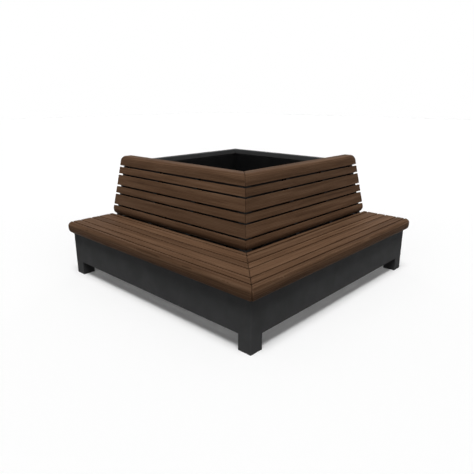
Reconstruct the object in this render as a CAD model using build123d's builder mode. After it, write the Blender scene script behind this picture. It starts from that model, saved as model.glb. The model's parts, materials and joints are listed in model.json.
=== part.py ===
import os
from math import cos, radians, sin, sqrt

from build123d import *

# Corner bench around two sides of a square planter, in millimetres, +Z up.
# The origin is on the floor, in the middle of the bench's square.
# The left arm runs along X and faces -Y, the right arm runs along Y and faces +X,
# and they meet on the vertical mitre plane through the near corner.
# The right arm is the left arm mirrored, so every pair is drawn once, on the left.

# Overall
side = 2010.0  # nose front to slat ends, the same both ways
seat_height = 445.0
ground_clearance = 105.0  # floor to the skirts and planter walls

# Timber
slat_thick = 35.0
wide_slat = 89.0
narrow_slat = 59.0
rear_strip = 32.0
slat_gap = 11.0
edge_round = 2.0
mitre_gap = 2.0
nose_depth = 39.0
nose_height = 100.0
nose_top_round = 33.0
nose_bottom_round = 50.0  # it rolls under, deeper than the board is thick
round_land = 1.0  # flat left beside a full rounding

# Backrest, measured up the leaning front face from seat level
lean = radians(15.0)
back_gap = 2.0  # rear strip to the leaning face, at seat level
bottom_face = 74.5  # top of the bottom board
bottom_lift = 3.0  # seat level to the lowest point of its rounding
bottom_round = 50.0  # it rolls under, deeper than the board is thick
cap_face = 78.5  # height of the cap's front before it is rounded
cap_round = 50.0
cap_rear_round = 6.0
cap_thick = 47.0  # cap above the planter rim
cap_overhang = 5.0  # cap past the inner edge of the rim

# Seat base
sheet = 3.0
bend = 2.5  # inside radius of a folded sheet
leg = 100.0
leg_wall = 4.0
corner_round = 4.0
panel_flange = 25.0
strip_thick = 5.0
strip_height = 40.0
strip_drop = 6.0  # fixing strip below the skirt's top edge
angle_leg = 40.0
angle_thick = 4.0
bearer_count = 4
mitre_plate = 80.0
fit_gap = 4.0  # clearance between steel pieces that pass each other

# Backrest brackets
bracket_count = 3
bracket_plate = 5.0
bracket_web = 6.0
bracket_inset = 10.0  # end bracket inside the slat ends
bracket_foot = -20.0  # lower end from seat level, up the lean
bracket_clear = 6.0  # upper end below the cap
corner_wing = 45.0  # corner bracket's plates, out from the mitre
wall_gap = 26.0  # slat backs to planter wall, at rim level

# Planter
rim_flange = 50.0
rim_lip = 42.0
foot_flange = 50.0
joist = 40.0
joist_wall = 3.0
joist_count = 3
floor_gap = 2.0
liner_wall = 5.0
liner_gap = 6.0
liner_drop = 55.0  # liner top below the rim
weld_gap = 0.5  # between the liner's sheets
drain_radius = 10.0

# Feet
foot_plate = 6.0
anchor_radius = 7.0

# Fasteners
screw_radius = 3.0
screw_head = 5.5
screw_head_height = 3.0
screw_cover = 13.0  # timber over the tip of a screw
nose_screw_count = 5
bolt_radius = 4.0
bolt_head = 7.0
bolt_head_height = 5.0
bolt_tail = 2.0  # thread past the nut
nut_height = 7.0
bolt_inset = 50.0  # bolts from the ends of a bracket's wall plate
hole_gap = 0.3
head_gap = 1.5  # clearance around screw and bolt heads

# Levels and depths that follow. Depths run inward from the skirt's face.
half = side / 2
skirt_face = half - nose_depth - strip_thick
bearer_top = seat_height - slat_thick
frame_top = bearer_top - angle_thick
floor_base = ground_clearance + sheet + joist
screw_bite = slat_thick - screw_cover

seat_slats = []
depth = slat_gap - strip_thick
for width in (narrow_slat, wide_slat, narrow_slat, wide_slat, rear_strip):
    seat_slats.append((depth, depth + width))
    depth += width + slat_gap
back_foot = seat_slats[-1][1] + back_gap

back_slats = []
rise = bottom_face + slat_gap
for width in (wide_slat, narrow_slat, wide_slat, narrow_slat):
    back_slats.append((rise, rise + width))
    rise += width + slat_gap
cap_start = rise


def lean_point(up, behind):
    """Depth and height of a point up the leaning face and behind it."""
    return (
        back_foot + up * sin(lean) + behind * cos(lean),
        seat_height + up * cos(lean) - behind * sin(lean),
    )


def rise_at(height, behind):
    """How far up the lean a given height lies, on the plane that far behind the face."""
    return (height - seat_height + behind * sin(lean)) / cos(lean)


cap_top = lean_point(cap_start + cap_face, 0)[1]
rim_height = cap_top - cap_thick
rim_rise = rise_at(rim_height, slat_thick)
planter_face = lean_point(rim_rise, slat_thick)[0] + wall_gap
planter_near = skirt_face - planter_face
planter_side = half + planter_near
planter_x = (planter_near - half) / 2
planter_y = -planter_x
cap_rear = planter_face + rim_flange + cap_overhang
liner_top = rim_height - liner_drop
liner_side = planter_side - 2 * (rim_flange + liner_gap)
floor_side = planter_side - 2 * (sheet + bend + floor_gap)
drain_pitch = planter_side / (joist_count + 1)
strip_mid = frame_top - strip_drop - strip_height / 2
bracket_top = rise_at(rim_height - bracket_clear, slat_thick)

# Planes. Sections of the left arm are drawn as (depth, height) on arm_end.
mitre = Plane(origin=(0, 0, 0), x_dir=(0, 0, 1), z_dir=(1, 1, 0))
arm_end = Plane(origin=(-half, -skirt_face, 0), x_dir=(0, 1, 0), z_dir=(1, 0, 0))
diagonal = Plane(origin=(0, 0, bearer_top), x_dir=(1, -1, 0), z_dir=(0, 0, 1))
hip = Plane(origin=(skirt_face, -skirt_face, 0), x_dir=(-1, 1, 0), z_dir=(1, 1, 0))

# Fastener lines: along a bearer, along a bracket, and out from the mitre along an arm.
# Each lies in the middle of the plate that it goes through, or clear of the web beside it.
bracket_width = bracket_web + 4 * (bolt_head + head_gap)
bearer_line = angle_leg - angle_thick - head_gap - screw_head
bracket_line = (3 * bracket_width + bracket_web) / 4
seat_corner_line = (mitre_plate + angle_thick) / 4 * sqrt(2)
back_corner_line = (2 * corner_wing + bracket_web) / 4 * sqrt(2)
flange_line = panel_flange + head_gap + screw_head  # nearest screw to a folded edge

# Places of the bearers, brackets and fasteners along the left arm
bearer_first = -half + max(fit_gap, flange_line - bearer_line)
bearer_last = planter_near - mitre_plate / sqrt(2) - fit_gap - angle_leg
bearer_step = (bearer_last - bearer_first) / (bearer_count - 1)
bearer_places = [bearer_first + i * bearer_step for i in range(bearer_count)]

bracket_first = -half + bracket_inset
bracket_step = (planter_near - bracket_first) / bracket_count
bracket_places = [bracket_first + i * bracket_step for i in range(bracket_count)]

skirt_length = half + skirt_face - 2 * leg
nose_screw_step = skirt_length / nose_screw_count
wall_plate_low = lean_point(bracket_foot, slat_thick + bracket_plate)[1]
wall_plate_high = lean_point(bracket_top, slat_thick + bracket_plate)[1]
bolt_heights = (wall_plate_low + bolt_inset, wall_plate_high - bolt_inset)


def arm_y(depth):
    return depth - skirt_face


def seat_screw_places(near, far):
    """Under a seat slat: one screw on each bearer, and one on the mitre bearer."""
    depth = max((near + far) / 2, flange_line)
    along = [place + bearer_line for place in bearer_places]
    along.append(skirt_face - depth - seat_corner_line)
    return [Location((x, arm_y(depth), bearer_top)) for x in along]


def back_screw_places(up):
    """Behind a back board: one screw on each bracket, and one on the corner bracket."""
    depth, height = lean_point(up, slat_thick)
    along = [place + bracket_line for place in bracket_places]
    along.append(skirt_face - depth - back_corner_line)
    forward = (0, -cos(lean), sin(lean))
    planes = [Plane(origin=(x, arm_y(depth), height), z_dir=forward) for x in along]
    return [plane.location for plane in planes]


def nose_screw_places():
    """Behind the nose board, through the skirt and the fixing strip."""
    first = leg - half + nose_screw_step / 2
    along = [first + i * nose_screw_step for i in range(nose_screw_count)]
    y = arm_y(-strip_thick)
    planes = [Plane(origin=(x, y, strip_mid), z_dir=(0, -1, 0)) for x in along]
    return [plane.location for plane in planes]


def bolt_places():
    """On the planter wall's outer face, behind each bracket and the corner bracket."""
    along = [place + bracket_line for place in bracket_places]
    along.append(planter_near - back_corner_line)
    y = arm_y(planter_face)
    planes = [Plane(origin=(x, y, z), z_dir=(0, 1, 0)) for x in along for z in bolt_heights]
    return [plane.location for plane in planes]


seat_screw_rows = [seat_screw_places(near, far) for near, far in seat_slats]
bottom_screws = back_screw_places((bottom_face + bottom_lift) / 2)
back_screw_rows = [back_screw_places((low + high) / 2) for low, high in back_slats]
cap_screws = back_screw_places((cap_start + bracket_top) / 2)
nose_screws = nose_screw_places()
wall_bolts = bolt_places()
seat_screws = [place for row in seat_screw_rows for place in row]
back_screws = [place for row in back_screw_rows for place in row] + bottom_screws + cap_screws

os.makedirs("parts", exist_ok=True)


def save(piece, name):
    piece.part.label = name
    export_step(piece.part, f"parts/{name}.step")


def save_pair(piece, name):
    """Write a left-hand piece and its mirrored right-hand twin."""
    save(piece, f"left_{name}")
    with BuildPart() as twin:
        mirror(piece.part, about=mitre)
    save(twin, f"right_{name}")


def drill(places, radius, reach):
    """Clearance holes that reach either side of each place, in the part being made."""
    with Locations(*places):
        Cylinder(radius + hole_gap, 2 * (reach + hole_gap), mode=Mode.SUBTRACT)


# Timber boards
def rounded(corners, rounds):
    """A board's section as (depth, height), with a rounding at each corner."""
    with BuildSketch() as section:
        with BuildLine():
            FilletPolyline(*corners, radius=rounds, close=True)
        make_face()
    return section.sketch


def board(section, screw_places):
    """A board of the left arm, from its square end to the mitre, with pilot holes."""
    with BuildPart() as piece:
        with BuildSketch(arm_end):
            add(section)
        extrude(amount=side)
        split(bisect_by=mitre.offset(-mitre_gap / 2), keep=Keep.BOTTOM)
        drill(screw_places, screw_radius, screw_bite)
    return piece


def full_round(radius, wall):
    """A large rounding, limited by the wall that it ends on."""
    return min(radius, wall - edge_round - round_land)


def rolled(corners, rounds, keep, rearward):
    """A section drawn as deep as its rounding, then cut to the board, with eased rear corners."""
    with BuildSketch() as section:
        add(rounded(corners, rounds))
        with BuildLine():
            Polyline(*keep, close=True)
        make_face(mode=Mode.INTERSECT)
        fillet(section.vertices().sort_by(rearward)[-2:], edge_round)
    return section.sketch


def roll_depth(roll, thick):
    """Depth of the block that a rolled board is drawn in."""
    return max(roll, thick) + edge_round + round_land


def flat_block(low, high, front, rear):
    """Corners of an upright block between two heights and two depths."""
    return [(front, low), (rear, low), (rear, high), (front, high)]


nose_base = seat_height - nose_height
nose_front = -strip_thick - nose_depth
nose_top = full_round(nose_top_round, nose_depth)
nose_roll = full_round(nose_bottom_round, nose_height - nose_top)
nose_section = rolled(
    flat_block(nose_base, seat_height, nose_front, nose_front + roll_depth(nose_roll, nose_depth)),
    [nose_roll, edge_round, edge_round, nose_top],
    flat_block(nose_base - slat_gap, seat_height + slat_gap, nose_front - slat_gap, -strip_thick),
    Axis.X,
)
save_pair(board(nose_section, nose_screws), "seat_nose")

slat_names = ["seat_slat_1", "seat_slat_2", "seat_slat_3", "seat_slat_4", "seat_rear_strip"]
for name, (near, far), places in zip(slat_names, seat_slats, seat_screw_rows):
    corners = flat_block(bearer_top, seat_height, near, far)
    save_pair(board(rounded(corners, [edge_round] * 4), places), name)


def slat_block(low, high, front, rear):
    """Corners of a leaning block between two rises and two depths behind the face."""
    return [
        lean_point(low, front),
        lean_point(low, rear),
        lean_point(high, rear),
        lean_point(high, front),
    ]


def behind_face(vertex):
    return (vertex.X - back_foot) * cos(lean) - (vertex.Y - seat_height) * sin(lean)


bottom_roll = full_round(bottom_round, bottom_face - bottom_lift)
bottom_section = rolled(
    slat_block(bottom_lift, bottom_face, 0, roll_depth(bottom_roll, slat_thick)),
    [bottom_roll, edge_round, edge_round, edge_round],
    slat_block(0, bottom_face + slat_gap, -slat_gap, slat_thick),
    behind_face,
)
save_pair(board(bottom_section, bottom_screws), "back_bottom_board")

for number, ((low, high), places) in enumerate(zip(back_slats, back_screw_rows), start=1):
    section = rounded(slat_block(low, high, 0, slat_thick), [edge_round] * 4)
    save_pair(board(section, places), f"back_slat_{number}")

cap_section = rounded(
    [
        lean_point(cap_start, 0),
        lean_point(cap_start, slat_thick),
        lean_point(rim_rise, slat_thick),
        (cap_rear, rim_height),
        (cap_rear, cap_top),
        lean_point(cap_start + cap_face, 0),
    ],
    [edge_round, edge_round, edge_round, edge_round, cap_rear_round, cap_round],
)
save_pair(board(cap_section, cap_screws), "back_cap")


# Legs and feet
def square_leg(x, y, height, outward):
    """A square tube that stands on the floor, eased on its outermost edge."""
    with BuildPart() as post:
        with BuildSketch(Plane.XY):
            with Locations((x, y)):
                Rectangle(leg, leg)
                Rectangle(leg - 2 * leg_wall, leg - 2 * leg_wall, mode=Mode.SUBTRACT)
        extrude(amount=height)
        upright = post.edges().filter_by(Axis.Z)
        fillet(upright.sort_by(Axis((0, 0, 0), outward))[-1], corner_round)
    return post


outer_leg = half - leg / 2
skirt_leg = skirt_face - leg / 2
planter_leg = planter_near - leg / 2

save(square_leg(skirt_leg, -skirt_leg, frame_top, (1, -1, 0)), "corner_leg")
save_pair(square_leg(-outer_leg, -skirt_leg, frame_top, (-1, -1, 0)), "leg")
save(square_leg(planter_leg, -planter_leg, ground_clearance, (1, -1, 0)), "planter_inner_leg")
save_pair(square_leg(-outer_leg, -planter_leg, ground_clearance, (-1, -1, 0)), "planter_leg")
save(square_leg(-outer_leg, outer_leg, ground_clearance, (-1, 1, 0)), "planter_rear_leg")

anchored_legs = [
    (skirt_leg, -skirt_leg),
    (-outer_leg, -skirt_leg),
    (skirt_leg, outer_leg),
    (-outer_leg, outer_leg),
]
plain_legs = [
    (planter_leg, -planter_leg),
    (-outer_leg, -planter_leg),
    (planter_leg, outer_leg),
]
with BuildPart() as foot_plates:
    with BuildSketch(Plane.XY):
        with Locations(*anchored_legs, *plain_legs):
            Rectangle(leg - 2 * leg_wall, leg - 2 * leg_wall)
        with Locations(*anchored_legs):
            Circle(anchor_radius, mode=Mode.SUBTRACT)
    extrude(amount=foot_plate)
save(foot_plates, "foot_plates")


# Skirt and end panels: sheet with its top and bottom edges folded inward
def folded_section(plane, folds):
    """The section of a folded sheet, along the middle of its thickness."""
    with BuildSketch(plane) as section:
        with BuildLine():
            FilletPolyline(*folds, radius=bend + sheet / 2)
        trace(line_width=sheet)
    return section.sketch


panel_foot = ground_clearance + sheet / 2
panel_head = frame_top - sheet / 2
panel_folds = [
    (panel_flange, panel_foot),
    (sheet / 2, panel_foot),
    (sheet / 2, panel_head),
    (panel_flange, panel_head),
]
with BuildPart() as skirt:
    extrude(folded_section(arm_end.offset(leg), panel_folds), amount=skirt_length)
    drill(nose_screws, screw_radius, strip_thick + sheet)
save_pair(skirt, "skirt")

end_plane = Plane(
    origin=(-half, arm_y(planter_face), 0),
    x_dir=(1, 0, 0),
    z_dir=(0, -1, 0),
)
with BuildPart() as end_panel:
    extrude(folded_section(end_plane, panel_folds), amount=planter_face - leg)
save_pair(end_panel, "end_panel")

with BuildPart() as nose_strip:
    with BuildSketch(arm_end.offset(fit_gap)):
        with Locations((-strip_thick / 2, strip_mid)):
            Rectangle(strip_thick, strip_height)
    extrude(amount=side)
    split(bisect_by=mitre.offset(-mitre_gap / 2), keep=Keep.BOTTOM)
    drill(nose_screws, screw_radius, strip_thick)
save_pair(nose_strip, "nose_strip")

# Seat bearers: angles across the arm, from the skirt to the planter
bearer_middle = planter_face / 2
web_near = leg + fit_gap
web_far = planter_face - angle_leg - fit_gap
with BuildPart() as seat_bearers:
    with BuildSketch(Plane.XY.offset(bearer_top)):
        with Locations(*[(x + angle_leg / 2, arm_y(bearer_middle)) for x in bearer_places]):
            Rectangle(angle_leg, planter_face - 2 * fit_gap)
    extrude(amount=-angle_thick)
    with BuildSketch(Plane.XY.offset(bearer_top)):
        web_y = arm_y((web_near + web_far) / 2)
        with Locations(*[(x + angle_leg - angle_thick / 2, web_y) for x in bearer_places]):
            Rectangle(angle_thick, web_far - web_near)
    extrude(amount=-angle_leg)
    drill(seat_screws, screw_radius, angle_thick)
save_pair(seat_bearers, "seat_bearers")

with BuildPart() as seat_ledger:
    with BuildSketch(arm_end.offset(panel_flange + fit_gap)):
        with BuildLine():
            Polyline(
                (planter_face, frame_top),
                (planter_face - angle_leg, frame_top),
                (planter_face - angle_leg, frame_top - angle_thick),
                (planter_face - angle_thick, frame_top - angle_thick),
                (planter_face - angle_thick, frame_top - angle_leg),
                (planter_face, frame_top - angle_leg),
                close=True,
            )
        make_face()
    extrude(amount=side)
    split(bisect_by=mitre, keep=Keep.BOTTOM)
save_pair(seat_ledger, "seat_ledger")

# Mitre bearer: a tee along the diagonal, from the corner leg to the planter's near corner
plate_near = (planter_near + fit_gap) * sqrt(2)
plate_far = (skirt_face - fit_gap) * sqrt(2) - mitre_plate / 2
tee_near = (planter_near + angle_leg + fit_gap) * sqrt(2)
tee_far = (skirt_face - leg - fit_gap) * sqrt(2)
with BuildPart() as mitre_bearer:
    with BuildSketch(diagonal):
        with Locations(((plate_near + plate_far) / 2, 0)):
            Rectangle(plate_far - plate_near, mitre_plate)
    extrude(amount=-angle_thick)
    with BuildSketch(diagonal):
        with Locations(((tee_near + tee_far) / 2, 0)):
            Rectangle(tee_far - tee_near, angle_thick)
    extrude(amount=-angle_leg)
    drill(seat_screws, screw_radius, angle_thick)
    # What is common to the bearer and its mirror image has the right arm's holes too
    mirror(mitre_bearer.part, about=mitre, mode=Mode.INTERSECT)
save(mitre_bearer, "mitre_bearer")

# Backrest brackets: a web with a leaning plate in front and a wall plate behind
plate_back = slat_thick + bracket_plate
lean_plate = [
    lean_point(bracket_foot, slat_thick),
    lean_point(bracket_foot, plate_back),
    lean_point(bracket_top, plate_back),
    lean_point(bracket_top, slat_thick),
]
wall_plate = [
    (planter_face - bracket_plate, wall_plate_low),
    (planter_face, wall_plate_low),
    (planter_face, wall_plate_high),
    (planter_face - bracket_plate, wall_plate_high),
]
web_outline = [lean_plate[1], wall_plate[0], wall_plate[3], lean_plate[2]]


def flat_outline(plane, points):
    """A face with straight edges on a plane."""
    with BuildSketch(plane) as outline:
        with BuildLine():
            Polyline(*points, close=True)
        make_face()
    return outline.sketch


with BuildPart() as back_brackets:
    for place in bracket_places:
        edge = arm_end.offset(place + half)
        extrude(flat_outline(edge, lean_plate), amount=bracket_width)
        extrude(flat_outline(edge, wall_plate), amount=bracket_width)
        middle = edge.offset((bracket_width - bracket_web) / 2)
        extrude(flat_outline(middle, web_outline), amount=bracket_web)
    drill(back_screws, screw_radius, bracket_plate)
    drill(wall_bolts, bolt_radius, bracket_plate)
save_pair(back_brackets, "back_brackets")

# Corner bracket: the same plates as wings on both sides of a web on the mitre plane
hip_web = [lean_plate[1], wall_plate[1], wall_plate[2], lean_plate[2]]
hip_outline = [(depth * sqrt(2), height) for depth, height in hip_web]
with BuildPart() as corner_bracket:
    extrude(flat_outline(arm_end, lean_plate), amount=side)
    extrude(flat_outline(arm_end, wall_plate), amount=side)
    split(bisect_by=mitre, keep=Keep.BOTTOM)
    split(bisect_by=mitre.offset(-corner_wing), keep=Keep.TOP)
    drill(back_screws, screw_radius, bracket_plate)
    drill(wall_bolts, bolt_radius, bracket_plate)
    mirror(about=mitre)
    extrude(flat_outline(hip, hip_outline), amount=bracket_web / 2, both=True)
save(corner_bracket, "back_corner_bracket")


# Planter walls: folded sheet with a foot flange, a rim flange and a turned-down lip
rim_middle = rim_height - sheet / 2
lip_middle = rim_flange - sheet / 2
wall_folds = [
    (foot_flange, panel_foot),
    (sheet / 2, panel_foot),
    (sheet / 2, rim_middle),
    (lip_middle, rim_middle),
    (lip_middle, rim_height - rim_lip),
]


def planter_wall(plane, bolts):
    """A wall that is mitred at both corners of the square."""
    with BuildPart() as wall:
        extrude(folded_section(plane, wall_folds), amount=planter_side / 2, both=True)
        for way in (plane.z_dir, -plane.z_dir):
            corner = plane.origin + way * (planter_side / 2)
            split(bisect_by=Plane(origin=corner, z_dir=way + plane.x_dir), keep=Keep.BOTTOM)
        if bolts:
            drill(bolts, bolt_radius, sheet)
    return wall


front_wall = Plane(origin=(planter_x, -planter_near, 0), x_dir=(0, 1, 0), z_dir=(1, 0, 0))
rear_wall = Plane(origin=(-half, planter_y, 0), x_dir=(1, 0, 0), z_dir=(0, -1, 0))
save_pair(planter_wall(front_wall, wall_bolts), "planter_front_wall")
save_pair(planter_wall(rear_wall, []), "planter_rear_wall")

# Planter floor on its joists, and the liner that stands on it
joist_plane = Plane(
    origin=(planter_x - floor_side / 2, planter_y, floor_base - joist / 2),
    x_dir=(0, 1, 0),
    z_dir=(1, 0, 0),
)
with BuildPart() as floor_joists:
    with BuildSketch(joist_plane):
        with GridLocations(drain_pitch, 0, joist_count, 1):
            Rectangle(joist, joist)
            Rectangle(joist - 2 * joist_wall, joist - 2 * joist_wall, mode=Mode.SUBTRACT)
    extrude(amount=floor_side)
save(floor_joists, "floor_joists")

planter_middle = Plane(origin=(planter_x, planter_y, floor_base))
drain_rows = joist_count + 1
with BuildPart() as planter_floor:
    with BuildSketch(planter_middle):
        Rectangle(floor_side, floor_side)
        with GridLocations(drain_pitch, drain_pitch, drain_rows, drain_rows):
            Circle(drain_radius, mode=Mode.SUBTRACT)
    extrude(amount=sheet)
save(planter_floor, "planter_floor")

# The liner stands on the floor: a drained base, and four sheets welded around its edge
liner_foot = planter_middle.offset(sheet)
with BuildPart() as liner_base:
    with BuildSketch(liner_foot):
        Rectangle(liner_side, liner_side)
        with GridLocations(drain_pitch, drain_pitch, drain_rows, drain_rows):
            Circle(drain_radius, mode=Mode.SUBTRACT)
    extrude(amount=liner_wall)
save(liner_base, "liner_base")

liner_height = liner_top - floor_base - sheet - liner_wall
with BuildPart() as liner_walls:
    with BuildSketch(liner_foot.offset(liner_wall)):
        with PolarLocations((liner_side - liner_wall) / 2, 4):
            with Locations((0, -(liner_wall + weld_gap) / 2)):
                Rectangle(liner_wall, liner_side - liner_wall - weld_gap)
    extrude(amount=liner_height)
save(liner_walls, "liner_walls")


# Fasteners
def wood_screw(plate):
    """A pan-head screw, up through a plate that ends at z = 0 and into the timber above."""
    with BuildPart() as screw:
        with BuildSketch(Plane.XY.offset(-plate - screw_head_height)):
            Circle(screw_head)
        extrude(amount=screw_head_height)
        with BuildSketch(Plane.XY.offset(-plate)):
            Circle(screw_radius)
        extrude(amount=plate + screw_bite)
    return screw.part


def screw_group(plate, places):
    """The screws of the left arm, and of the right arm by mirroring."""
    one_screw = wood_screw(plate)
    with BuildPart() as group:
        with Locations(*places):
            add(one_screw)
        mirror(about=mitre)
    return group


save(screw_group(angle_thick, seat_screws), "seat_screws")
save(screw_group(bracket_plate, back_screws), "back_screws")
save(screw_group(strip_thick + sheet, nose_screws), "nose_screws")

with BuildPart() as hex_bolt:
    with BuildSketch(Plane.XY.offset(-bracket_plate - bolt_head_height)):
        RegularPolygon(bolt_head, side_count=6)
    extrude(amount=bolt_head_height)
    with BuildSketch(Plane.XY.offset(-bracket_plate)):
        Circle(bolt_radius)
    extrude(amount=bracket_plate + sheet + nut_height + bolt_tail)

with BuildPart() as hex_nut:
    with BuildSketch(Plane.XY.offset(sheet)):
        RegularPolygon(bolt_head, side_count=6)
        Circle(bolt_radius + hole_gap, mode=Mode.SUBTRACT)
    extrude(amount=nut_height)

with BuildPart() as bracket_bolts:
    with Locations(*wall_bolts):
        add(hex_bolt.part)
        add(hex_nut.part)
    mirror(about=mitre)
save(bracket_bolts, "bracket_bolts")
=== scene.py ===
import json
from math import cos, pi, radians, sin, tan

import bmesh
import bpy
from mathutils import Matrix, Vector


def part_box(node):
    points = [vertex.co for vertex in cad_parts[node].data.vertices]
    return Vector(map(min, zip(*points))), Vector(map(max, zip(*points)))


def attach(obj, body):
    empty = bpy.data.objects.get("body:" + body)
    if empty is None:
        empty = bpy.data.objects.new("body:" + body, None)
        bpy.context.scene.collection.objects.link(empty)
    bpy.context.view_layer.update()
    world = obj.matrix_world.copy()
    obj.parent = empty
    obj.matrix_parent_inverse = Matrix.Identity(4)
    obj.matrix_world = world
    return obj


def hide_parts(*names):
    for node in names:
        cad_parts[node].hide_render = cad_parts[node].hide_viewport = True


# Corner bench around a square planter. Metres, +Z up, left arm along X, right arm along Y.
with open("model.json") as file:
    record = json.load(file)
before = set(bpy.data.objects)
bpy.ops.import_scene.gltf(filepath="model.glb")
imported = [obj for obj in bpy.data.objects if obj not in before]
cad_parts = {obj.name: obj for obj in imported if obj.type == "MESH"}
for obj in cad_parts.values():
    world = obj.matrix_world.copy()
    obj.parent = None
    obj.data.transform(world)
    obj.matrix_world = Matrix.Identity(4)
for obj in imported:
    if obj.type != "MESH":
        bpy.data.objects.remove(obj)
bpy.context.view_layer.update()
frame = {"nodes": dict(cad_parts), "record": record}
print("frame loaded:", len(frame["nodes"]), "nodes")


# Hand tools

def clearSelection():
    if bpy.context.mode != "OBJECT":
        bpy.ops.object.mode_set(mode="OBJECT")
    bpy.ops.object.select_all(action="DESELECT")


def takeUp(piece):
    clearSelection()
    piece.select_set(True)
    bpy.context.view_layer.objects.active = piece


def startBlock(name, middle, size, turn=0.0):
    # a sawn length of timber, turned about its own length
    clearSelection()
    bpy.ops.mesh.primitive_cube_add(size=1, location=middle, rotation=(turn, 0, 0), scale=size)
    block = bpy.context.object
    block.name = name
    bpy.ops.object.transform_apply(location=True, rotation=True, scale=True)
    return block


def openMesh(piece, pick="NONE"):
    takeUp(piece)
    bpy.ops.object.mode_set(mode="EDIT")
    bpy.ops.mesh.select_mode(type="EDGE")
    bpy.ops.mesh.select_all(action="SELECT" if pick == "ALL" else "DESELECT")
    return bmesh.from_edit_mesh(piece.data)


def closeMesh():
    bpy.ops.object.mode_set(mode="OBJECT")


def roundEdges(piece, wanted, radius, steps):
    mesh = openMesh(piece)
    for edge in mesh.edges:
        if wanted(edge):
            edge.select_set(True)
    bmesh.update_edit_mesh(piece.data)
    bpy.ops.mesh.bevel(offset=radius, segments=steps, affect="EDGES", clamp_overlap=True)
    closeMesh()


def sawOff(piece, point, away):
    # cut straight through, and keep the side behind the saw
    openMesh(piece, pick="ALL")
    bpy.ops.mesh.bisect(plane_co=point, plane_no=away, use_fill=True, clear_outer=True)
    closeMesh()


# Timber boards of the left arm

board = {
    "easing": 0.002,         # rounding of every sawn edge
    "easingSteps": 3,
    "sharp": radians(30),    # an edge that turns further than this gets it
    "mitreRound": 0.004,     # rounding along the mitre, where it shows
    "mitreSteps": 4,
    "mitreGap": 0.002,
    "spare": 0.15,           # length that the mitre saw takes off
    "smooth": radians(32),   # an edge that turns less than this shades softly
    "slack": 0.0004,         # an edge this near to a point of the section is the one meant
    "longEdge": 0.5,         # an edge longer than this runs along the arm
    "crossways": 0.001,      # a face that looks along the arm by less than this is a long one
}

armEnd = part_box("left_seat_nose")[0].x
mitreOut = Vector((1, 1, 0)).normalized()
mitreCut = mitreOut * (-board["mitreGap"] / 2)
boards = {}


def squareBlock(node, front, rear, base, top):
    # from the arm's end to past the mitre, square to the seat
    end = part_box(node)[1].x + board["spare"]
    return startBlock(
        node + "_board",
        ((armEnd + end) / 2, (front + rear) / 2, (base + top) / 2),
        (end - armEnd, rear - front, top - base),
    )


def near(value, target):
    return abs(value - target) < board["slack"]


def longEdgeAt(point):
    # picks the edge along the arm through a point of the section
    def wanted(edge):
        start, end = [corner.co for corner in edge.verts]
        alongArm = abs(start.x - end.x) > board["longEdge"]
        return alongArm and near(start.y, point.y) and near(start.z, point.z)
    return wanted


def sharpEdge(edge):
    return edge.calc_face_angle(0) > board["sharp"]


def softenMitre(block, outward, least):
    # rounds the mitre in sawn flats, between the cut and each long face that looks outward
    radius, steps = board["mitreRound"], board["mitreSteps"]
    looks = []
    for face in block.data.polygons:
        if abs(face.normal.x) < board["crossways"] and face.normal.dot(outward) > least:
            looks.append(face.normal.copy())
    reach = mitreCut.dot(mitreOut) - radius
    for look in looks:
        # the flats touch a round whose middle lies one radius behind the face and behind the cut
        level = max(look.dot(corner.co) for corner in block.data.vertices) - radius
        wide = look.angle(mitreOut)
        for step in range(steps):
            turn = wide * (step + 0.5) / steps
            byFace, byCut = sin(wide - turn) / sin(wide), sin(turn) / sin(wide)
            away = look * byFace + mitreOut * byCut
            sawOff(block, away * (level * byFace + reach * byCut + radius), away)


def finishBoard(block, node, outward, least):
    roundEdges(block, sharpEdge, board["easing"], board["easingSteps"])
    sawOff(block, mitreCut, mitreOut)
    softenMitre(block, outward, least)
    boards[node] = block


# In each dictionary "outward" is where a board shows, and a long face is rounded at the mitre
# if its normal has more than "least" of that direction.

flatSlat = {"outward": Vector((0, 0, 1)), "least": 0.98}


def flatBoard(node):
    # a board that lies square, as wide and thick as its node
    low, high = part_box(node)
    block = squareBlock(node, low.y, high.y, low.z, high.z)
    finishBoard(block, node, flatSlat["outward"], flatSlat["least"])


noseBoard = {
    "height": 0.100,
    "topRound": 0.033,
    "underRound": 0.050,
    "deep": 0.054,           # before it is thinned
    "roundSteps": 16,
    "outward": Vector((0, -0.7, 0.7)),
    "least": -0.6,
}


def rolledNose(node):
    # its face rolls under further than the board is thick, so it is rounded first and then thinned
    low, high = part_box(node)
    base = high.z - noseBoard["height"]
    steps = noseBoard["roundSteps"]
    block = squareBlock(node, low.y, low.y + noseBoard["deep"], base, high.z)
    roundEdges(block, longEdgeAt(Vector((0, low.y, high.z))), noseBoard["topRound"], steps)
    roundEdges(block, longEdgeAt(Vector((0, low.y, base))), noseBoard["underRound"], steps)
    sawOff(block, high, Vector((0, 1, 0)))
    finishBoard(block, node, noseBoard["outward"], noseBoard["least"])


leaning = {
    "lean": radians(15),
    "thick": 0.035,
    "trim": 0.001,           # off both edges of a board, where a gap shows
    "footGap": 0.002,        # rear strip to the leaning face, at seat level
    "least": 0.98,
}

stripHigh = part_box("left_seat_rear_strip")[1]
leanFoot = Vector((0, stripHigh.y + leaning["footGap"], stripHigh.z))
leanUp = Vector((0, sin(leaning["lean"]), cos(leaning["lean"])))
leanIn = Vector((0, cos(leaning["lean"]), -sin(leaning["lean"])))


def leanPoint(up, behind):
    return leanFoot + leanUp * up + leanIn * behind


def leaningBlock(node, start, end, deep):
    # from one height up the lean to another
    middle = leanPoint((start + end) / 2, deep / 2)
    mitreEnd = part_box(node)[1].x + board["spare"]
    middle.x = (armEnd + mitreEnd) / 2
    return startBlock(node + "_board", middle, (mitreEnd - armEnd, deep, end - start), -leaning["lean"])


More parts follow.
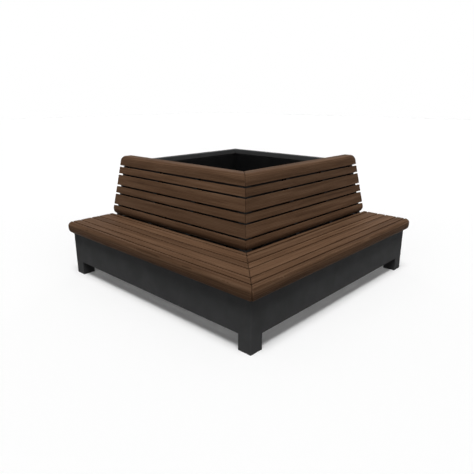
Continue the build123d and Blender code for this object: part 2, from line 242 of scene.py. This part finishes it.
def slatSpan(node):
    # where a leaning slat starts and ends up the lean, from its node's box
    low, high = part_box(node)
    lean, thick, easing = leaning["lean"], leaning["thick"], board["easing"]
    lost = 2 * easing * (cos(lean) + sin(lean) - 1)
    width = (high.z - low.z + lost - thick * sin(lean)) / cos(lean) - 2 * leaning["trim"]
    middle = (Vector((0, (low.y + high.y) / 2, (low.z + high.z) / 2)) - leanFoot).dot(leanUp)
    return middle - width / 2, middle + width / 2


def leaningBoard(node):
    start, end = slatSpan(node)
    block = leaningBlock(node, start, end, leaning["thick"])
    finishBoard(block, node, -leanIn, leaning["least"])


bottomBoard = {
    "from": 0.003,           # up the lean
    "to": 0.0735,
    "underRound": 0.050,
    "deep": 0.054,           # before it is thinned
    "roundSteps": 18,
    "least": 0.2,
}


def rolledBoard(node):
    # rounded and thinned as the nose is, down the lean
    start = bottomBoard["from"]
    block = leaningBlock(node, start, bottomBoard["to"], bottomBoard["deep"])
    roundEdges(block, longEdgeAt(leanPoint(start, 0)), bottomBoard["underRound"], bottomBoard["roundSteps"])
    sawOff(block, leanPoint(0, leaning["thick"]), leanIn)
    finishBoard(block, node, -leanIn, bottomBoard["least"])


capBoard = {
    "from": 0.4265,          # up the lean
    "to": 0.504,
    "faceRound": 0.050,
    "roundSteps": 18,
    "rearRound": 0.006,
    "rearSteps": 5,
    "facesDown": -0.9,       # a normal that points down by more than this is the underside
    "sameFlat": radians(1),  # faces that turn less than this are one
    "outward": Vector((0, -0.3, 0.95)),
    "least": -0.2,
}


def capOverRim(node):
    # a slab on the rim, with a leg extruded down the lean and trimmed to it
    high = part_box(node)[1]
    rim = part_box("left_planter_front_wall")[1].z
    lean, thick = leaning["lean"], leaning["thick"]
    foot = leanPoint(capBoard["from"], 0)
    hookUp = (rim - leanFoot.z + thick * sin(lean)) / cos(lean)
    hook = leanPoint(hookUp, thick)
    block = squareBlock(node, foot.y, high.y, rim, high.z)
    mesh = openMesh(block, pick="ALL")
    bpy.ops.mesh.bisect(plane_co=hook, plane_no=(0, 1, 0))
    bpy.ops.mesh.select_mode(type="FACE")
    bpy.ops.mesh.select_all(action="DESELECT")
    for face in mesh.faces:
        if face.normal.z < capBoard["facesDown"] and face.calc_center_median().y < hook.y:
            face.select_set(True)
    bmesh.update_edit_mesh(block.data)
    drop = leanUp * -(hookUp - capBoard["from"] + thick)
    bpy.ops.mesh.extrude_region_move(TRANSFORM_OT_translate={"value": drop})
    closeMesh()
    sawOff(block, foot, -leanUp)
    sawOff(block, leanFoot, -leanIn)
    openMesh(block, pick="ALL")
    bpy.ops.mesh.dissolve_limited(angle_limit=capBoard["sameFlat"])
    closeMesh()
    # the corner is wider than square, so its rounding starts nearer to it
    faceRound = capBoard["faceRound"] * tan((pi / 2 - lean) / 2)
    roundEdges(block, longEdgeAt(leanPoint(capBoard["to"], 0)), faceRound, capBoard["roundSteps"])
    roundEdges(block, longEdgeAt(high), capBoard["rearRound"], capBoard["rearSteps"])
    finishBoard(block, node, capBoard["outward"], capBoard["least"])


rolledNose("left_seat_nose")
for name in ("seat_slat_1", "seat_slat_2", "seat_slat_3", "seat_slat_4", "seat_rear_strip"):
    flatBoard("left_" + name)
rolledBoard("left_back_bottom_board")
for name in ("back_slat_1", "back_slat_2", "back_slat_3", "back_slat_4"):
    leaningBoard("left_" + name)
capOverRim("left_back_cap")
print("left arm boards:", len(boards))


# Right arm boards, mirrored about the mitre

def mirrorBoard(block, node):
    takeUp(block)
    bpy.ops.object.duplicate()
    twin = bpy.context.object
    twin.name = node + "_board"
    twin.rotation_euler = (0, 0, pi / 2)
    twin.scale = (-1, 1, 1)
    bpy.ops.object.transform_apply(location=True, rotation=True, scale=True)
    openMesh(twin, pick="ALL")
    bpy.ops.mesh.normals_make_consistent(inside=False)
    closeMesh()
    boards[node] = twin


def smoothBoard(block):
    # rounded edges shade softly, wide faces stay flat
    takeUp(block)
    bpy.ops.object.shade_smooth_by_angle(angle=board["smooth"])
    bpy.ops.object.modifier_add(type="WEIGHTED_NORMAL")
    block.modifiers[-1].keep_sharp = True
    bpy.ops.object.modifier_apply(modifier=block.modifiers[-1].name)


for node, block in list(boards.items()):
    mirrorBoard(block, node.replace("left_", "right_"))
for block in boards.values():
    smoothBoard(block)
print("boards in all:", len(boards))


# Node tools

def newGroup(name, outputs):
    group = bpy.data.node_groups.new(name, "ShaderNodeTree")
    group.interface.new_socket(name="Vector", in_out="INPUT", socket_type="NodeSocketVector")
    for socket in outputs:
        group.interface.new_socket(name=socket, in_out="OUTPUT", socket_type="NodeSocketFloat")
    return group


def addNode(tree, kind, **settings):
    node = tree.nodes.new(kind)
    for setting, value in settings.items():
        setattr(node, setting, value)
    return node


def addNoise(tree, vector, scale, detail, roughness=0.55):
    # scale is per metre, so noise with one small number and two large ones runs in streaks
    mapping = addNode(tree, "ShaderNodeMapping")
    mapping.inputs["Scale"].default_value = scale
    noise = addNode(tree, "ShaderNodeTexNoise")
    noise.inputs["Scale"].default_value = 1
    noise.inputs["Detail"].default_value = detail
    noise.inputs["Roughness"].default_value = roughness
    tree.links.new(vector, mapping.inputs["Vector"])
    tree.links.new(mapping.outputs["Vector"], noise.inputs["Vector"])
    return noise.outputs["Fac"]


def combine(tree, first, firstShare, second, secondShare):
    left = addNode(tree, "ShaderNodeMath", operation="MULTIPLY")
    left.inputs[1].default_value = firstShare
    right = addNode(tree, "ShaderNodeMath", operation="MULTIPLY_ADD")
    right.inputs[1].default_value = secondShare
    tree.links.new(first, left.inputs[0])
    tree.links.new(second, right.inputs[0])
    tree.links.new(left.outputs[0], right.inputs[2])
    return right.outputs[0]


def addSpan(tree, value, low, high, start=0, end=1):
    # low at start, high at end
    span = addNode(tree, "ShaderNodeMapRange")
    span.inputs["From Min"].default_value = start
    span.inputs["From Max"].default_value = end
    span.inputs["To Min"].default_value = low
    span.inputs["To Max"].default_value = high
    tree.links.new(value, span.inputs["Value"])
    return span.outputs["Result"]


def addRamp(tree, value, stops):
    ramp = addNode(tree, "ShaderNodeValToRGB")
    while len(ramp.color_ramp.elements) < len(stops):
        ramp.color_ramp.elements.new(0.5)
    for element, (place, colour) in zip(ramp.color_ramp.elements, stops):
        element.position = place
        element.color = (*colour, 1)
    tree.links.new(value, ramp.inputs["Fac"])
    return ramp.outputs["Color"]


def addMix(tree, share, first, second):
    # a Mix node has several sockets of one name, so they are told apart by identifier
    mix = addNode(tree, "ShaderNodeMix", data_type="RGBA")
    sockets = {socket.identifier: socket for socket in [*mix.inputs, *mix.outputs]}
    sockets["B_Color"].default_value = (*second, 1)
    tree.links.new(share, sockets["Factor_Float"])
    tree.links.new(first, sockets["A_Color"])
    return sockets["Result_Color"]


def addBump(tree, shader, height, strength, distance):
    bump = addNode(tree, "ShaderNodeBump")
    bump.inputs["Strength"].default_value = strength
    bump.inputs["Distance"].default_value = distance
    tree.links.new(height, bump.inputs["Height"])
    tree.links.new(bump.outputs["Normal"], shader.inputs["Normal"])


# Shared surface effects

grain = {
    "streakScale": (1.3, 34, 34),    # along the board, then across it
    "streakDetail": 5,
    "streakShare": 0.62,
    "fibreScale": (9, 620, 620),
    "fibreDetail": 3,
    "fibreShare": 0.24,
    "ringScale": 42,
    "ringDistortion": 0.6,
    "ringDetail": 2,
    "ringDetailScale": 1.5,
    "ringShare": 0.14,
    "wanderScale": (2.2, 9, 9),
    "wanderDetail": 2,
    "wander": 0.02,                  # how far the rings wander
    "poreScale": (45, 1500, 1500),
    "poreDetail": 2,
    "poreSpan": (0.58, 0.68),        # where pores begin, and where they are full
}


def makeTimberGrain():
    group = newGroup("timberGrain", ("Tone", "Fibre", "Pores"))
    vector = addNode(group, "NodeGroupInput").outputs["Vector"]
    streak = addNoise(group, vector, grain["streakScale"], grain["streakDetail"])
    fibre = addNoise(group, vector, grain["fibreScale"], grain["fibreDetail"])
    pores = addNoise(group, vector, grain["poreScale"], grain["poreDetail"])
    wander = addNoise(group, vector, grain["wanderScale"], grain["wanderDetail"])
    push = addNode(group, "ShaderNodeVectorMath", operation="MULTIPLY_ADD")
    push.inputs[1].default_value = (0, grain["wander"], grain["wander"])
    rings = addNode(group, "ShaderNodeTexWave", wave_type="RINGS", rings_direction="X", wave_profile="SAW")
    rings.inputs["Scale"].default_value = grain["ringScale"]
    rings.inputs["Distortion"].default_value = grain["ringDistortion"]
    rings.inputs["Detail"].default_value = grain["ringDetail"]
    rings.inputs["Detail Scale"].default_value = grain["ringDetailScale"]
    group.links.new(wander, push.inputs[0])
    group.links.new(vector, push.inputs[2])
    group.links.new(push.outputs[0], rings.inputs["Vector"])
    broad = combine(group, streak, grain["streakShare"], rings.outputs["Fac"], grain["ringShare"])
    outside = addNode(group, "NodeGroupOutput")
    group.links.new(combine(group, broad, 1, fibre, grain["fibreShare"]), outside.inputs["Tone"])
    group.links.new(fibre, outside.inputs["Fibre"])
    group.links.new(addSpan(group, pores, 0, 1, *grain["poreSpan"]), outside.inputs["Pores"])
    return group


coat = {
    "fineScale": (900, 900, 900),    # the same all ways
    "fineDetail": 2,
    "cloudScale": (7, 7, 7),
    "cloudDetail": 4,
    "cloudStops": (0.35, 0.65),      # where the coat is dark, and where it is light
}


def makeCoatGrain():
    group = newGroup("coatGrain", ("Height", "Cloud"))
    vector = addNode(group, "NodeGroupInput").outputs["Vector"]
    outside = addNode(group, "NodeGroupOutput")
    height = addNoise(group, vector, coat["fineScale"], coat["fineDetail"])
    cloud = addNoise(group, vector, coat["cloudScale"], coat["cloudDetail"])
    group.links.new(height, outside.inputs["Height"])
    group.links.new(cloud, outside.inputs["Cloud"])
    return group


timberGrain = makeTimberGrain()
coatGrain = makeCoatGrain()
print("surface effects:", len(bpy.data.node_groups))


# Finishes

def newFinish(name):
    finish = bpy.data.materials.new(name)
    finish.use_nodes = True
    tree = finish.node_tree
    return finish, tree, tree.nodes["Principled BSDF"]


def placeGroup(tree, group, turn=(0, 0, 0), shift=(0, 0, 0)):
    place = addNode(tree, "ShaderNodeTexCoord")
    mapping = addNode(tree, "ShaderNodeMapping")
    mapping.inputs["Rotation"].default_value = turn
    mapping.inputs["Location"].default_value = shift
    effect = addNode(tree, "ShaderNodeGroup", node_tree=group)
    tree.links.new(place.outputs["Object"], mapping.inputs["Vector"])
    tree.links.new(mapping.outputs["Vector"], effect.inputs["Vector"])
    return effect


oiledTimber = {
    "dark": (0.044, 0.0228, 0.0119),
    "middle": (0.104, 0.0557, 0.0305),
    "light": (0.168, 0.0995, 0.060),
    "stops": {"dark": 0.32, "middle": 0.50, "light": 0.69},
    "pore": (0.022, 0.011, 0.006),
    "poreShare": 0.35,
    "poreSink": -0.5,                # pores lie lower than the fibres
    "rough": (0.72, 0.6),
    "specular": 0.04,
    "bump": 0.35,
    "bumpDepth": 0.0004,
    # each board's grain is moved along it, and across it in a few places by turns
    "grainStart": (0, 0.09, 0.11),
    "grainStep": (1.71, 0.021, 0.013),
    "grainTurns": (5, 7),
    "noseMoved": 6.64,               # the grain along the two nose boards is moved on by this
    # how pale each board is, from the nose to the cap
    "leftTone": (0.90, 1.05, 1.10, 0.90, 1.15, 1.0, 1.0, 0.90, 1.0, 1.10, 1.20, 0.95),
    "rightTone": (0.94, 1.10, 1.15, 1.20, 0.95, 1.0, 1.10, 1.05, 0.90, 0.90, 0.80, 0.90),
}
boardTones = oiledTimber["leftTone"] + oiledTimber["rightTone"]


def grainTurn(node):
    # lays the grain along the board and flat on its lean
    lean = leaning["lean"] if "_back_" in node else 0
    return (0, lean, -pi / 2) if node.startswith("right_") else (lean, 0, 0)


def grainShift(node, number):
    crossTurns, upTurns = oiledTimber["grainTurns"]
    places = (number, number % crossTurns, number % upTurns)
    shift = []
    for start, step, place in zip(oiledTimber["grainStart"], oiledTimber["grainStep"], places):
        shift.append(start + step * place)
    if "nose" in node:
        shift[0] += oiledTimber["noseMoved"]
    return shift


def makeTimber(node, number):
    finish, tree, shader = newFinish("timber_" + node)
    effect = placeGroup(tree, timberGrain, grainTurn(node), grainShift(node, number))
    tone, fibre, pores = [effect.outputs[name] for name in ("Tone", "Fibre", "Pores")]
    stops = []
    for shade, place in oiledTimber["stops"].items():
        stops.append((place, [channel * boardTones[number] for channel in oiledTimber[shade]]))
    colour = addRamp(tree, tone, stops)
    share = addSpan(tree, pores, 0, oiledTimber["poreShare"])
    tree.links.new(addMix(tree, share, colour, oiledTimber["pore"]), shader.inputs["Base Color"])
    tree.links.new(addSpan(tree, tone, *oiledTimber["rough"]), shader.inputs["Roughness"])
    shader.inputs["Specular IOR Level"].default_value = oiledTimber["specular"]
    height = combine(tree, fibre, 1, pores, oiledTimber["poreSink"])
    addBump(tree, shader, height, oiledTimber["bump"], oiledTimber["bumpDepth"])
    return finish


powderCoat = {
    "dark": (0.0705, 0.0709, 0.0716),
    "light": (0.0845, 0.0850, 0.0858),
    "rough": (0.5, 0.62),
    "metallic": 0,
    "specular": 0.01,
    "bump": 0.25,
    "bumpDepth": 0.0003,
}
stainless = {
    "dark": (0.36, 0.36, 0.37),
    "light": (0.55, 0.55, 0.56),
    "rough": (0.28, 0.42),
    "metallic": 1,
    "specular": 0.5,
    "bump": 0.1,
    "bumpDepth": 0.0002,
}
linerSheet = {
    "dark": (0.0062, 0.0064, 0.0066),
    "light": (0.0092, 0.0094, 0.0096),
    "rough": (0.6, 0.75),
    "metallic": 0,
    "specular": 0.05,
    "bump": 0.2,
    "bumpDepth": 0.0004,
}


def makeCoated(name, settings):
    finish, tree, shader = newFinish(name)
    effect = placeGroup(tree, coatGrain)
    cloud = effect.outputs["Cloud"]
    stops = list(zip(coat["cloudStops"], (settings["dark"], settings["light"])))
    tree.links.new(addRamp(tree, cloud, stops), shader.inputs["Base Color"])
    tree.links.new(addSpan(tree, cloud, *settings["rough"]), shader.inputs["Roughness"])
    shader.inputs["Metallic"].default_value = settings["metallic"]
    shader.inputs["Specular IOR Level"].default_value = settings["specular"]
    addBump(tree, shader, effect.outputs["Height"], settings["bump"], settings["bumpDepth"])
    return finish


slotFinish = {
    "steel": makeCoated("charcoalPowderCoat", powderCoat),
    "fasteners": makeCoated("plainStainless", stainless),
    "liner": makeCoated("blackLinerSheet", linerSheet),
}
for entry in frame["record"]["subparts"]:
    node = frame["nodes"][entry["node"]]
    if entry["material_slot"] in slotFinish:
        node.data.materials.clear()
        node.data.materials.append(slotFinish[entry["material_slot"]])

for number, (node, block) in enumerate(boards.items()):
    block.data.materials.clear()
    block.data.materials.append(makeTimber(node, number))
    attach(block, "root")
    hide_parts(node)
print("finishes:", len(bpy.data.materials))


# Floor, light and camera

stageSet = {
    "floorSize": 60,
    "floorSeen": (0.927, 0.942),     # how pale the floor looks, around the bench and far off
    "floorFade": (2.7, 5.7),         # from here to here it turns paler
    "floorBounce": 0.10,             # how much light it throws back on the bench
    "floorLift": 0.068,              # what the camera still sees of it in deep shade
    "ambient": 0.14,                 # light from all round
}


def seenDirectly(tree):
    # 1 where the camera, a reflection or glass looks, 0 for light on its way round the room
    path = addNode(tree, "ShaderNodeLightPath")
    seen = path.outputs["Is Camera Ray"]
    for kind in ("Is Glossy Ray", "Is Transmission Ray"):
        either = addNode(tree, "ShaderNodeMath", operation="MAXIMUM")
        tree.links.new(seen, either.inputs[0])
        tree.links.new(path.outputs[kind], either.inputs[1])
        seen = either.outputs[0]
    return seen


def makeFloor():
    clearSelection()
    bpy.ops.mesh.primitive_plane_add(size=stageSet["floorSize"])
    floor = bpy.context.object
    floor.name = "floor"
    finish, tree, shader = newFinish("paleFloor")
    shader.inputs["Roughness"].default_value = 1
    shader.inputs["Specular IOR Level"].default_value = 0
    shader.inputs["Emission Color"].default_value = (1, 1, 1, 1)
    place = addNode(tree, "ShaderNodeTexCoord")
    away = addNode(tree, "ShaderNodeVectorMath", operation="LENGTH")
    tree.links.new(place.outputs["Object"], away.inputs[0])
    pale = addSpan(tree, away.outputs["Value"], *stageSet["floorSeen"], *stageSet["floorFade"])
    seen = seenDirectly(tree)
    colour = addSpan(tree, seen, stageSet["floorBounce"], 1)
    tree.links.new(pale, colour.node.inputs["To Max"])
    tree.links.new(colour, shader.inputs["Base Color"])
    tree.links.new(addSpan(tree, seen, 0, stageSet["floorLift"]), shader.inputs["Emission Strength"])
    floor.data.materials.append(finish)


def makeSky():
    world = bpy.data.worlds.new("studioSky")
    bpy.context.scene.world = world
    world.use_nodes = True
    tree = world.node_tree
    sky = tree.nodes["Background"]
    sky.inputs["Color"].default_value = (1, 1, 1, 1)
    strength = addSpan(tree, seenDirectly(tree), stageSet["ambient"], 1)
    tree.links.new(strength, sky.inputs["Strength"])


keyLamp = {
    "place": (2, -2, 6),
    "tilt": (radians(11.5), radians(13)),   # towards the right and the left seat
    "spread": radians(26),
    "strength": 2.60,
}
fillLamp = {
    "inward": {"leftFill": Vector((0, 1, 0)), "rightFill": Vector((-1, 0, 0))},   # square to one arm
    "away": 5,
    "height": 2,
    "rise": radians(18),
    "spread": radians(40),
    "strength": 0.33,
}
rearLamp = {
    "place": (-4.2, 4.2, 0.65),             # a soft panel behind the planter
    "aim": (-1.0, 1.0, 0.45),
    "size": 1.2,
    "power": 40,
}


def addLamp(kind, name, place, toward, strength):
    clearSelection()
    bpy.ops.object.light_add(type=kind, location=place)
    lamp = bpy.context.object
    lamp.name = name
    lamp.data.energy = strength
    lamp.rotation_euler = toward.to_track_quat("-Z", "Y").to_euler()
    return lamp


def makeKey():
    rightTilt, leftTilt = keyLamp["tilt"]
    toward = Vector((-tan(rightTilt), tan(leftTilt), -1))
    lamp = addLamp("SUN", "keyLight", keyLamp["place"], toward, keyLamp["strength"])
    lamp.data.angle = keyLamp["spread"]


def makeFill(name):
    inward = fillLamp["inward"][name]
    place = Vector((0, 0, fillLamp["height"])) - inward * fillLamp["away"]
    toward = inward - Vector((0, 0, tan(fillLamp["rise"])))
    lamp = addLamp("SUN", name, place, toward, fillLamp["strength"])
    lamp.data.angle = fillLamp["spread"]


def makeRear():
    toward = Vector(rearLamp["aim"]) - Vector(rearLamp["place"])
    lamp = addLamp("AREA", "rearLight", rearLamp["place"], toward, rearLamp["power"])
    lamp.data.size = rearLamp["size"]
    lamp.visible_camera = False


photoView = {
    "place": (2.49285, -2.71899, 1.42990),
    "azimuth": radians(43.013),
    "elevation": radians(16.999),
    "focalPixels": 459.08,
    "imagePixels": 474,
    "sensor": 36,
}


def makeCamera():
    clearSelection()
    turn = (pi / 2 - photoView["elevation"], 0, photoView["azimuth"])
    bpy.ops.object.camera_add(location=photoView["place"], rotation=turn)
    camera = bpy.context.object
    camera.name = "photoCamera"
    camera.data.sensor_width = photoView["sensor"]
    camera.data.lens = photoView["focalPixels"] / photoView["imagePixels"] * photoView["sensor"]
    bpy.context.scene.camera = camera


makeFloor()
makeSky()
makeKey()
for name in fillLamp["inward"]:
    makeFill(name)
makeRear()
makeCamera()
bpy.context.scene.view_settings.view_transform = "Standard"
print("stage set")
